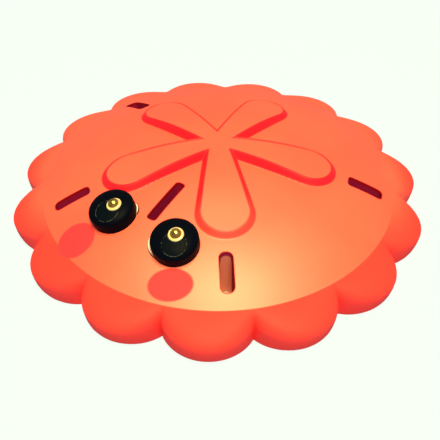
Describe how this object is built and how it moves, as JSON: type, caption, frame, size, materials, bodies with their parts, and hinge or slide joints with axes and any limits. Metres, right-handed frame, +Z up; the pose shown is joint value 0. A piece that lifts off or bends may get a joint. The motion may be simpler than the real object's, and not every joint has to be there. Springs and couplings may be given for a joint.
{
  "type": "toy sand dollar",
  "caption": "Soft orange toy sand dollar: a low dome with a scalloped rim, a raised petal flower, slots cut through, button eyes with gold beads, lying on a flat underside",
  "frame": {"origin": "centre of the flat underside, at the middle of the flower above it", "axes": "+Z up out of the underside, the face looks toward -Y, +X to the viewer's right when facing it"},
  "size_m": [0.0991, 0.0995, 0.018],
  "materials": {
    "shell": "satin moulded soft vinyl, orange, blush marks printed under the eyes",
    "eye_white": "plain off-white disc",
    "eye": "gloss blue-black",
    "bead": "polished gold colour"
  },
  "bodies": {
    "root": {"shell": "shell", "eye_white_left": "eye_white", "eye_white_right": "eye_white", "eye_left": "eye", "eye_right": "eye", "bead_left": "bead", "bead_right": "bead"}
  },
  "joints": []
}
